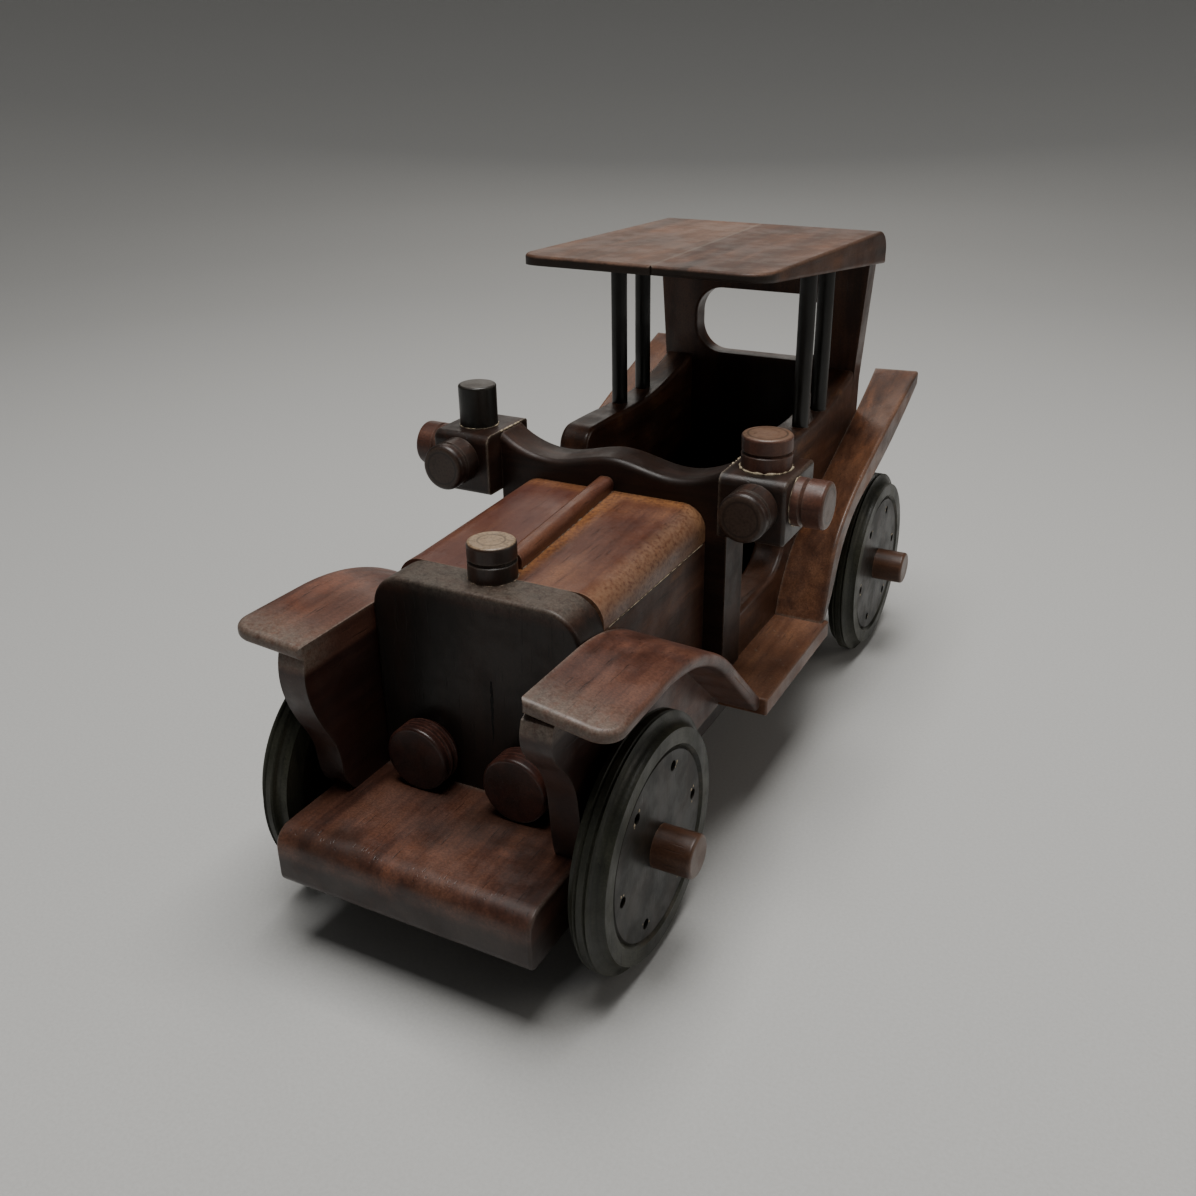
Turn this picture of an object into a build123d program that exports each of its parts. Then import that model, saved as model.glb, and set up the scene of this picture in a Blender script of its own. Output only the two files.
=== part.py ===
"""A hand-made wooden vintage model car, in millimetres.

+Z is up and the car's nose points along -Y, so +X is the car's left-hand side. The origin is on
the ground, in the middle of the car's length and width. Lengths along the car are given as
stations, measured backwards from the front edge of the chassis board.
"""
from build123d import *
import os
from math import cos, radians, sin

os.makedirs("parts", exist_ok=True)

LEFT = 1
RIGHT = -1
SIDES = {"left": LEFT, "right": RIGHT}

# Wheels, axles and hub pegs
WHEEL_RADIUS = 37.5
WHEEL_INNER_X = 46.5
WHEEL_THICKNESS = 10.2
WHEEL_SHOULDER = 3.8
DISC_RADIUS = 28.1
DISC_RECESS = 0.5
TREAD_GROOVES = (3.2, 5.9)
TREAD_GROOVE_HALF = 0.5
TREAD_GROOVE_DEPTH = 0.7
LIGHTENING_HOLES = 6
HOLE_CIRCLE = 22.8
HOLE_RADIUS = 1.6
HOLE_DEPTH = 4.0
AXLE_RADIUS = 3.5
AXLE_CLEARANCE = 0.06
HUB_PEG_RADIUS = 6.4
HUB_PEG_END_X = 68.0
AXLE_END_X = 64.5

# Stations along the car
FRONT_AXLE = 46.0
WHEELBASE = 215.7
REAR_AXLE = FRONT_AXLE + WHEELBASE
LENGTH = REAR_AXLE + WHEEL_RADIUS
APRON_END = 27.8
RADIATOR_FRONT = 43.4
RADIATOR_BACK = 56.8
RUNNING_BOARD_FRONT = 119.3
RUNNING_BOARD_BACK = 183.3
FIREWALL_FRONT = 126.4
FIREWALL_BACK = 141.2
BODY_SIDE_FRONT = 141.7
REAR_PANEL_FRONT = 258.8
REAR_PANEL_BACK = 267.6
CHASSIS_BACK = 276.8

# Heights above the ground
CHASSIS_BOTTOM = 22.5
CHASSIS_TOP = 40.2
FLOOR_TOP = 46.5
BONNET_SEAM = 94.0
BONNET_FRONT_TOP = 104.0
BONNET_BACK_TOP = 106.2

# Half widths
APRON_HALF = 41.6
CHASSIS_HALF = 35.2
BONNET_HALF = 34.0
FIREWALL_HALF = 41.3
BODY_HALF = 40.6
BODY_SIDE_THICKNESS = 11.6
RUNNING_BOARD_HALF = 60.0

# Sanded edges of the boards
WORN = 0.8
GROOVE_WIDTH = 1.3
GROOVE_DEPTH = 0.8


def at(station):
    """Y of a point that many millimetres behind the front edge of the chassis board."""
    return station - LENGTH / 2


def side_points(points):
    """(station, height) pairs as points of a sketch on the YZ plane."""
    return [(at(station), height) for station, height in points]


def write(piece, name):
    piece.part.label = name
    export_step(piece.part, f"parts/{name}.step")


def turned(base, direction, radius, length, grooves=(), rounding=1.0, foot_radius=None):
    """A dowel or knob turned about the line from base along direction, with V grooves."""
    section = Plane(origin=base, x_dir=direction, z_dir=Vector(*direction).cross(Vector(1, 2, 3)))
    half = GROOVE_WIDTH / 2
    outline = [(0, 0), (0, foot_radius or radius)]
    for middle in grooves:
        outline += [(middle - half, radius), (middle, radius - GROOVE_DEPTH), (middle + half, radius)]
    outline += [(length, radius), (length, 0)]
    with BuildPart() as piece:
        with BuildSketch(section):
            with BuildLine():
                Polyline(*outline, close=True)
            make_face()
        revolve(axis=Axis(base, direction))
        rim = piece.edges().filter_by(GeomType.CIRCLE).sort_by(Axis(base, direction))[-1]
        fillet(rim, rounding)
    return piece


def axle_bore(station):
    """Cuts the running bore of an axle across the piece being made."""
    with BuildSketch(Plane.YZ) as bore:
        with Locations((at(station), WHEEL_RADIUS)):
            Circle(AXLE_RADIUS + AXLE_CLEARANCE)
    extrude(bore.sketch, amount=WHEEL_INNER_X, both=True, mode=Mode.SUBTRACT)


# Chassis board: its wide front end is the apron, with a bullnosed front edge.
APRON_TOP_ROUND = 6.0
APRON_BOTTOM_ROUND = 3.0
with BuildPart() as chassis:
    with BuildSketch(Plane.XY.offset(CHASSIS_BOTTOM)):
        with BuildLine():
            Polyline((-APRON_HALF, at(0)), (APRON_HALF, at(0)), (APRON_HALF, at(APRON_END)),
                     (CHASSIS_HALF, at(APRON_END)), (CHASSIS_HALF, at(CHASSIS_BACK)),
                     (-CHASSIS_HALF, at(CHASSIS_BACK)), (-CHASSIS_HALF, at(APRON_END)),
                     (-APRON_HALF, at(APRON_END)), close=True)
        make_face()
    extrude(amount=CHASSIS_TOP - CHASSIS_BOTTOM)
    for end, rounding in ((-1, APRON_TOP_ROUND), (0, APRON_BOTTOM_ROUND)):
        front_edges = chassis.edges().filter_by(Axis.X).group_by(Axis.Y)[0].sort_by(Axis.Z)
        fillet(front_edges[end], rounding)
    for end in (0, -1):
        apron_end = chassis.faces().filter_by(Axis.X).sort_by(Axis.X)[end]
        fillet(apron_end.edges().filter_by(lambda edge: edge.center().Y < at(APRON_END) - 1), WORN)
    for axle in (FRONT_AXLE, REAR_AXLE):
        axle_bore(axle)
write(chassis, "chassis_board")


# Radiator: an upright board with rounded shoulders, standing on the front of the chassis.
RADIATOR_SHOULDER = 11.0
RADIATOR_FACE_ROUND = 1.2
with BuildPart() as radiator:
    with BuildSketch(Plane.XZ.offset(-at(RADIATOR_FRONT))):
        with Locations((0, CHASSIS_TOP)):
            Rectangle(2 * BONNET_HALF, BONNET_FRONT_TOP - CHASSIS_TOP, align=(Align.CENTER, Align.MIN))
        fillet(vertices().group_by(Axis.Y)[-1], RADIATOR_SHOULDER)
    extrude(amount=-(RADIATOR_BACK - RADIATOR_FRONT))
    fillet(radiator.faces().sort_by(Axis.Y)[0].edges().filter_by(
        lambda edge: edge.center().Z > CHASSIS_TOP + 1), RADIATOR_FACE_ROUND)
    axle_bore(FRONT_AXLE)
write(radiator, "radiator_plate")

# Engine block: it steps over the running board at its back end.
SEAM_ROUND = 0.4
with BuildPart() as engine:
    with BuildSketch(Plane.YZ):
        with BuildLine():
            Polyline(*side_points([(RADIATOR_BACK, CHASSIS_TOP), (RUNNING_BOARD_FRONT, CHASSIS_TOP),
                                   (RUNNING_BOARD_FRONT, FLOOR_TOP), (FIREWALL_FRONT, FLOOR_TOP),
                                   (FIREWALL_FRONT, BONNET_SEAM), (RADIATOR_BACK, BONNET_SEAM)]),
                     close=True)
        make_face()
    extrude(amount=BONNET_HALF, both=True)
    fillet(engine.edges().filter_by(Axis.Y).group_by(Axis.Z)[-1], SEAM_ROUND)
write(engine, "engine_block")

# Bonnet top: a board that rises towards the firewall, level under the radiator cap.
CAP_STATION = 56.0
CAP_RADIUS = 7.1
BONNET_LEVEL_END = CAP_STATION + CAP_RADIUS + 0.4
BONNET_EDGE = 8.0
with BuildPart() as bonnet:
    with BuildSketch(Plane.YZ):
        with BuildLine():
            Polyline(*side_points([(RADIATOR_BACK, BONNET_SEAM), (FIREWALL_FRONT, BONNET_SEAM),
                                   (FIREWALL_FRONT, BONNET_BACK_TOP), (BONNET_LEVEL_END, BONNET_FRONT_TOP),
                                   (RADIATOR_BACK, BONNET_FRONT_TOP)]), close=True)
        make_face()
    extrude(amount=BONNET_HALF, both=True)
    long_edges = bonnet.faces().filter_by(Axis.X).edges().filter_by(
        lambda edge: edge.center().Z > BONNET_FRONT_TOP - 0.1)
    fillet(long_edges, BONNET_EDGE)
    fillet(bonnet.edges().filter_by(Axis.Y).group_by(Axis.Z)[0], SEAM_ROUND)
write(bonnet, "bonnet_top")

# Bonnet rib: a rounded strip that wanders slightly to the right on its way to the firewall.
RIB_WIDTH = 6.0
RIB_HEIGHT = 4.6
RIB_ROUND = 2.2
RIB_SECTIONS = ((BONNET_LEVEL_END, 1.5, BONNET_FRONT_TOP), (FIREWALL_FRONT, -1.6, BONNET_BACK_TOP))
with BuildPart() as rib:
    for station, middle, seat in RIB_SECTIONS:
        with BuildSketch(Plane.XZ.offset(-at(station))):
            with Locations((middle, seat)):
                Rectangle(RIB_WIDTH, RIB_HEIGHT, align=(Align.CENTER, Align.MIN))
            fillet(vertices().group_by(Axis.Y)[-1], RIB_ROUND)
    loft()
write(rib, "bonnet_rib")

# Radiator cap and headlamps
CAP_HEIGHT = 11.0
CAP_GROOVE = 5.6
cap = turned((-0.4, at(CAP_STATION), BONNET_FRONT_TOP), (0, 0, 1), CAP_RADIUS, CAP_HEIGHT,
             grooves=(CAP_GROOVE,))
write(cap, "radiator_cap")
HEADLAMP_X = 17.0
HEADLAMP_Z = 50.6
HEADLAMP_RADIUS = 10.3
HEADLAMP_FOOT_RADIUS = 9.0
HEADLAMP_LENGTHS = {"left": 9.8, "right": 8.4}
for side, sign in SIDES.items():
    length = HEADLAMP_LENGTHS[side]
    lamp = turned((sign * HEADLAMP_X, at(RADIATOR_FRONT), HEADLAMP_Z), (0, -1, 0), HEADLAMP_RADIUS,
                  length, grooves=(0.32 * length, 0.64 * length), foot_radius=HEADLAMP_FOOT_RADIUS)
    write(lamp, f"headlamp_{side}")

# Firewall: an upright board with a waved top, standing on the running board.
FIREWALL_CREST_ROUND = 2.0
with BuildPart() as firewall:
    with BuildSketch(Plane.XZ.offset(-at(FIREWALL_FRONT))):
        with BuildLine():
            wave = Spline((FIREWALL_HALF, 120.2), (35.5, 116.4), (21, 113.4), (0, 117),
                          (-21, 113.4), (-35.5, 116.4), (-FIREWALL_HALF, 120.2))
            Polyline(wave @ 1, (-FIREWALL_HALF, FLOOR_TOP), (FIREWALL_HALF, FLOOR_TOP), wave @ 0)
        make_face()
    extrude(amount=-(FIREWALL_BACK - FIREWALL_FRONT))
    crest = firewall.faces().sort_by(Axis.Z)[-1]
    fillet(crest.edges().filter_by(lambda edge: edge.length > FIREWALL_HALF), FIREWALL_CREST_ROUND)
write(firewall, "firewall")

# Running board: one plank across the car. The floor board fills the cabin behind it.
with BuildPart() as running_board:
    with Locations((0, at(RUNNING_BOARD_FRONT), CHASSIS_TOP)):
        Box(2 * RUNNING_BOARD_HALF, RUNNING_BOARD_BACK - RUNNING_BOARD_FRONT, FLOOR_TOP - CHASSIS_TOP,
            align=(Align.CENTER, Align.MIN, Align.MIN))
    fillet(running_board.edges(), WORN)
write(running_board, "running_board")
with BuildPart() as floor:
    with Locations((0, at(RUNNING_BOARD_BACK), CHASSIS_TOP)):
        Box(2 * BODY_HALF, REAR_PANEL_BACK - RUNNING_BOARD_BACK, FLOOR_TOP - CHASSIS_TOP,
            align=(Align.CENTER, Align.MIN, Align.MIN))
    axle_bore(REAR_AXLE)
write(floor, "floor_board")

# Side lamps: a carved block on each end of the firewall, with turned pegs on three faces.
LAMP_BLOCK_FRONT = 118.1
LAMP_BLOCK_BACK = 144.0
LAMP_BLOCK_OUTER = 62.8
LAMP_BLOCK_BOTTOM = 100.3
LAMP_BLOCK_TOP = 120.6
LAMP_CARVED_ROUND = 3.0
LAMP_BLOCK_ROUND = 1.2
LAMP_MIDDLE = 131.0
FRONT_PEG_X = 52.7
FRONT_PEG_Z = 111.6
FRONT_PEG_RADIUS = 7.75
FRONT_PEG_LENGTH = 10.5
OUTER_PEG_STATION = 128.6
OUTER_PEG_Z = 112.0
OUTER_PEG_RADIUS = 7.5
OUTER_PEG_LENGTH = 10.2
for side, sign in SIDES.items():
    inner = min(sign * FIREWALL_HALF, sign * LAMP_BLOCK_OUTER)
    with BuildPart() as block:
        with Locations((inner, at(LAMP_BLOCK_FRONT), LAMP_BLOCK_BOTTOM)):
            Box(LAMP_BLOCK_OUTER - FIREWALL_HALF, LAMP_BLOCK_BACK - LAMP_BLOCK_FRONT,
                LAMP_BLOCK_TOP - LAMP_BLOCK_BOTTOM, align=Align.MIN)
        top_front = block.edges().filter_by(Axis.X).sort_by(lambda edge: edge.center().Z - edge.center().Y)
        fillet(top_front[-1], LAMP_CARVED_ROUND)
        outer_edges = block.edges().filter_by(lambda edge: abs(edge.center().X) > FIREWALL_HALF + 1)
        fillet(outer_edges, LAMP_BLOCK_ROUND)
    write(block, f"side_lamp_{side}")
    front_peg = turned((sign * FRONT_PEG_X, at(LAMP_BLOCK_FRONT), FRONT_PEG_Z), (0, -1, 0),
                       FRONT_PEG_RADIUS, FRONT_PEG_LENGTH, grooves=(6.6,), rounding=1.6)
    write(front_peg, f"lamp_front_peg_{side}")
    outer_peg = turned((sign * LAMP_BLOCK_OUTER, at(OUTER_PEG_STATION), OUTER_PEG_Z), (sign, 0, 0),
                       OUTER_PEG_RADIUS, OUTER_PEG_LENGTH, grooves=(3.2,), rounding=1.2)
    write(outer_peg, f"lamp_outer_peg_{side}")
top_peg_left = turned((51.6, at(LAMP_MIDDLE), LAMP_BLOCK_TOP), (0, 0, 1), 7.9, 10.6, grooves=(5.2,))
write(top_peg_left, "lamp_top_peg_left")
top_peg_right = turned((-52.5, at(LAMP_MIDDLE), LAMP_BLOCK_TOP), (0, 0, 1), 6.5, 14.0, rounding=0.8)
write(top_peg_right, "lamp_top_peg_right")

# Roof: a wedge, thick at the back, set slightly askew and made of two boards side by side.
ROOF_FRONT = 149.3
ROOF_BACK = 267.6
ROOF_UNDER_FRONT = 171.3
ROOF_UNDER_SLOPE = 0.0986
ROOF_TOP_FRONT = 174.6
ROOF_TOP_BACK = 172.3
ROOF_HALF = 45.3
ROOF_SKEW = -2.5
ROOF_BACK_ROUND = 8.0
ROOF_FRONT_CORNER = 9.0
ROOF_RIM_ROUND = 1.2


def roof_underside(station):
    return ROOF_UNDER_FRONT - ROOF_UNDER_SLOPE * (station - ROOF_FRONT)


# Body sides, with the rounded cut-out of the door at the front and sockets for the posts.
# A full round nose joins the door's arc to the crown line.
POST_RADIUS = 3.0
POST_X = 36.9
POST_STATIONS = {"front": 206.8, "rear": 227.3}
POST_BOTTOM = 98.0
POST_SOCKET_IN_ROOF = 2.5
DOOR_SILL = 63.5
BODY_SIDE_ROUND = 1.6
DOOR_ARC_STATION = 172.0
DOOR_ARC_RADIUS = 16.0
BODY_CROWN = [(DOOR_ARC_STATION, 111.3), (190, 111.0), (211, 110.4), (232, 112.2), (REAR_PANEL_FRONT, 118.8)]
for side, sign in SIDES.items():
    with BuildPart() as body_side:
        with BuildSketch(Plane.YZ.offset(sign * (BODY_HALF - BODY_SIDE_THICKNESS))):
            with BuildLine():
                sill = side_points([(BODY_SIDE_FRONT, DOOR_SILL), (DOOR_ARC_STATION, DOOR_SILL)])
                crown = side_points(BODY_CROWN)
                Line(*sill)
                lip = ThreePointArc(sill[1], (at(DOOR_ARC_STATION + DOOR_ARC_RADIUS),
                                              DOOR_SILL + DOOR_ARC_RADIUS),
                                    (at(DOOR_ARC_STATION), DOOR_SILL + 2 * DOOR_ARC_RADIUS))
                TangentArc(lip @ 1, crown[0], tangent=lip % 1)
                top = Spline(*crown, tangents=[(1, 0), (1, 0.35)])
                Polyline(top @ 1, (at(REAR_PANEL_FRONT), FLOOR_TOP), (at(BODY_SIDE_FRONT), FLOOR_TOP),
                         sill[0])
            make_face()
        extrude(amount=sign * BODY_SIDE_THICKNESS)
        sanded = body_side.edges().filter_by(
            lambda edge: edge.center().Z > DOOR_SILL + 1 and edge.bounding_box().size.X < 1
            and edge.center().Y < at(REAR_PANEL_FRONT) - 1)
        fillet(sanded, BODY_SIDE_ROUND)
        for station in POST_STATIONS.values():
            with BuildSketch(Plane.XY.offset(POST_BOTTOM)):
                with Locations((sign * POST_X, at(station))):
                    Circle(POST_RADIUS)
            extrude(amount=30, mode=Mode.SUBTRACT)
    write(body_side, f"body_side_{side}")

for place, station in POST_STATIONS.items():
    for side, sign in SIDES.items():
        with BuildPart() as post:
            with BuildSketch(Plane.XY.offset(POST_BOTTOM)):
                with Locations((sign * POST_X, at(station))):
                    Circle(POST_RADIUS)
            extrude(amount=roof_underside(station) + POST_SOCKET_IN_ROOF - POST_BOTTOM)
        write(post, f"roof_post_{place}_{side}")

# Rear panel, with its window, up to the underside of the roof
REAR_PANEL_FLARE_START = 114.0
REAR_PANEL_HALF_TOP = 44.4
WINDOW_HALF = 27.2
WINDOW_BOTTOM = 120.4
WINDOW_TOP = 146.8
WINDOW_CORNER = 11.0
WINDOW_EDGE_ROUND = 0.9
with BuildPart() as rear_panel:
    with BuildSketch(Plane.YZ):
        with BuildLine():
            Polyline(*side_points([(REAR_PANEL_FRONT, FLOOR_TOP), (REAR_PANEL_BACK, FLOOR_TOP),
                                   (REAR_PANEL_BACK, roof_underside(REAR_PANEL_BACK)),
                                   (REAR_PANEL_FRONT, roof_underside(REAR_PANEL_FRONT))]), close=True)
        make_face()
    extrude(amount=60, both=True)
    with BuildSketch(Plane.XZ.offset(-at(REAR_PANEL_FRONT) + 5)):
        with BuildLine():
            Polyline((-BODY_HALF, FLOOR_TOP), (BODY_HALF, FLOOR_TOP), (BODY_HALF, REAR_PANEL_FLARE_START),
                     (REAR_PANEL_HALF_TOP, ROOF_UNDER_FRONT), (-REAR_PANEL_HALF_TOP, ROOF_UNDER_FRONT),
                     (-BODY_HALF, REAR_PANEL_FLARE_START), close=True)
        make_face()
        with Locations((0, (WINDOW_BOTTOM + WINDOW_TOP) / 2)):
            RectangleRounded(2 * WINDOW_HALF, WINDOW_TOP - WINDOW_BOTTOM, WINDOW_CORNER, mode=Mode.SUBTRACT)
    extrude(amount=-30, mode=Mode.INTERSECT)
    window_edges = rear_panel.edges().filter_by(lambda edge: abs(edge.center().X) < WINDOW_HALF + 1
                                                and WINDOW_BOTTOM - 1 < edge.center().Z < WINDOW_TOP + 1)
    fillet(window_edges, WINDOW_EDGE_ROUND)
write(rear_panel, "rear_panel")

# Roof boards, either side of a seam that runs slightly aslant
ROOF_SEAM_FRONT = 6.0
ROOF_SEAM_BACK = -4.0
roof_plane = Plane(origin=(0, at((ROOF_FRONT + ROOF_BACK) / 2), 0),
                   x_dir=Vector(1, 0).rotate(Axis.Z, ROOF_SKEW))
ROOF_LENGTH = ROOF_BACK - ROOF_FRONT
for side, sign in SIDES.items():
    with BuildPart() as roof:
        with BuildSketch(roof_plane.offset(150)):
            with BuildLine():
                Polyline((ROOF_SEAM_FRONT, -ROOF_LENGTH / 2), (sign * ROOF_HALF, -ROOF_LENGTH / 2),
                         (sign * ROOF_HALF, ROOF_LENGTH / 2), (ROOF_SEAM_BACK, ROOF_LENGTH / 2), close=True)
            make_face()
            front_corner = vertices().sort_by(lambda corner: corner.Y - sign * corner.X)[0]
            fillet(front_corner, ROOF_FRONT_CORNER)
        extrude(amount=30)
        with BuildSketch(Plane.YZ):
            with BuildLine():
                Polyline(*side_points([(ROOF_FRONT - 10, roof_underside(ROOF_FRONT - 10)),
                                       (ROOF_BACK + 10, roof_underside(ROOF_BACK + 10)),
                                       (ROOF_BACK + 10, ROOF_TOP_BACK), (ROOF_FRONT - 10, ROOF_TOP_FRONT)]),
                         close=True)
            make_face()
        extrude(amount=80, both=True, mode=Mode.INTERSECT)
        back_edge = roof.edges().filter_by(lambda edge: edge.center().Y > at(ROOF_BACK) - 5
                                           and edge.center().Z > ROOF_TOP_BACK - 1)
        fillet(back_edge, ROOF_BACK_ROUND)
        upper_rim = roof.edges().filter_by(lambda edge: edge.center().Z > ROOF_TOP_BACK - 1
                                           and edge.center().Y < at(ROOF_FRONT) + 12)
        fillet(upper_rim, ROOF_RIM_ROUND)
        for place, station in POST_STATIONS.items():
            with BuildSketch(Plane.XY.offset(POST_BOTTOM)):
                with Locations((sign * POST_X, at(station))):
                    Circle(POST_RADIUS)
            extrude(amount=roof_underside(station) + POST_SOCKET_IN_ROOF - POST_BOTTOM, mode=Mode.SUBTRACT)
    write(roof, f"roof_board_{side}")

# Front fenders: a curved plate and the inner panel that closes the wheel arch, carved in one.
# Each side line of the plate is level, then an arc, then straight down to the running board.
PLATE_THICKNESS = 4.3
PANEL_THICKNESS = 9.2
PANEL_SINK = 2.6
PLATE_OUTER_FRONT = 59.8
PLATE_OUTER_BACK = 57.4
PLATE_FRONT_CORNER = 7.0
PLATE_NOSE_ROUND = 1.8
PLATE_FOOT_TOP = 47.6
PLATE_FOOT_BOTTOM = 41.4
ARCH_START = 41.0
FENDER_SPECS = {
    "left": {"nose": 12.4, "inner": (96.0, 62.0, 41.8), "outer": (91.8, 80.0, 46.0),
             "panel": [(12.8, 90), (13.2, 80), (18.9, 72.8), (22.9, 64.9), (24.4, 56), (26.8, CHASSIS_TOP)]},
    "right": {"nose": 11.8, "inner": (94.0, 80.0, 49.0), "outer": (96.0, 80.0, 49.0),
              "panel": [(13.4, 90), (13.6, 75), (17.4, 66), (22.1, 55.8), (23.4, 47), (27.5, CHASSIS_TOP)]},
}


def arch(top, radius, angle, depth):
    """Start, middle and end of the arc of a side line, at a depth below the plate's top."""
    points = []
    for turn in (0, radians(angle) / 2, radians(angle)):
        points.append((ARCH_START + (radius - depth) * sin(turn),
                       top - depth - (radius - depth) * (1 - cos(turn))))
    return side_points(points)


for side, sign in SIDES.items():
    spec = FENDER_SPECS[side]
    nose_y = at(spec["nose"])
    foot_y = at(RUNNING_BOARD_FRONT)
    with BuildPart() as fender:
        for edge, offset in (("inner", BONNET_HALF), ("outer", PLATE_OUTER_FRONT)):
            upper = arch(*spec[edge], 0)
            lower = arch(*spec[edge], PLATE_THICKNESS)
            with BuildSketch(Plane.YZ.offset(sign * offset)):
                with BuildLine():
                    Line((nose_y, upper[0][1]), upper[0])
                    ThreePointArc(*upper)
                    Polyline(upper[2], (foot_y, PLATE_FOOT_TOP), (foot_y, PLATE_FOOT_BOTTOM), lower[2])
                    ThreePointArc(*reversed(lower))
                    Polyline(lower[0], (nose_y, lower[0][1]), (nose_y, upper[0][1]))
                make_face()
        loft(ruled=True)
        with BuildSketch(Plane.XY.offset(CHASSIS_TOP)):
            with BuildLine():
                Polyline((sign * BONNET_HALF, nose_y), (sign * PLATE_OUTER_FRONT, nose_y),
                         (sign * PLATE_OUTER_BACK, foot_y), (sign * BONNET_HALF, foot_y), close=True)
            make_face()
            outer_nose = vertices().sort_by(lambda corner: corner.Y - sign * corner.X)[0]
            fillet(outer_nose, PLATE_FRONT_CORNER)
        extrude(amount=80, mode=Mode.INTERSECT)
        fillet(fender.edges().filter_by(lambda edge: edge.center().Y < at(ARCH_START) - 22
                                        and edge.bounding_box().size.Z < PLATE_THICKNESS),
               PLATE_NOSE_ROUND)
        crown = arch(*spec["inner"], PANEL_SINK)
        with BuildSketch(Plane.YZ.offset(sign * BONNET_HALF)):
            with BuildLine():
                front = Spline(*side_points(spec["panel"]))
                Polyline(front @ 0, (crown[0][0] - 20, crown[0][1]), crown[0])
                ThreePointArc(*crown)
                Polyline(crown[2], (foot_y, PLATE_FOOT_TOP - PANEL_SINK), (foot_y, CHASSIS_TOP), front @ 1)
            make_face()
        extrude(amount=sign * PANEL_THICKNESS)
        axle_bore(FRONT_AXLE)
    write(fender, f"front_fender_{side}")

# Rear fenders: carved boards that sweep up from the running board and back over the wheels.
# They are dished, so the outer edge stands higher than the inner one between the two ends.
REAR_FENDER_OFFSETS = {"left": {"inner": BODY_HALF, "outer": 58.6},
                       "right": {"inner": BODY_HALF, "outer": 60.8}}
REAR_FENDER_SECTIONS = {
    "inner": {
        "top": [(179.3, FLOOR_TOP), (185.3, 58), (193, 66.5), (205, 73.8), (232, 86), (269, 101),
                (291.8, 112.2)],
        "under": [(183.2, FLOOR_TOP), (190.3, 54.5), (198, 61), (208, 67), (235, 78.5), (271, 93.5),
                  (291.3, 106)]},
    "outer": {
        "top": [(179.3, FLOOR_TOP), (184.8, 60), (190.3, 73), (200.3, 82), (229, 94.6), (270, 107.3),
                (291.8, 112.8)],
        "under": [(183.2, FLOOR_TOP), (191.3, 57), (198, 68.5), (207, 76.6), (235, 86), (273, 98.8),
                  (291.3, 106.8)]},
}
REAR_FENDER_LIFT = {"left": 0.0, "right": 5.0}
REAR_FENDER_RUN = 112.0
REAR_FENDER_ROUND = 1.0
for side, sign in SIDES.items():
    foot = REAR_FENDER_SECTIONS["inner"]["top"][0][0]
    outer_half = REAR_FENDER_OFFSETS[side]["outer"]
    with BuildPart() as fender:
        for place, lines in REAR_FENDER_SECTIONS.items():
            raised = {}
            for line, points in lines.items():
                slope = REAR_FENDER_LIFT[side] / REAR_FENDER_RUN
                raised[line] = [(station, height + slope * (station - foot)) for station, height in points]
            raised["under"][0] = lines["under"][0]
            with BuildSketch(Plane.YZ.offset(sign * REAR_FENDER_OFFSETS[side][place])):
                with BuildLine():
                    top = Spline(*side_points(raised["top"]))
                    under = Spline(*side_points(raised["under"]))
                    Line(top @ 1, under @ 1)
                    Line(top @ 0, under @ 0)
                make_face()
        loft(ruled=True)
        fillet(fender.edges().filter_by(lambda edge: abs(edge.center().X) > outer_half - 1
                                        and edge.length > REAR_FENDER_RUN / 2), REAR_FENDER_ROUND)
    write(fender, f"rear_fender_{side}")

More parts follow.
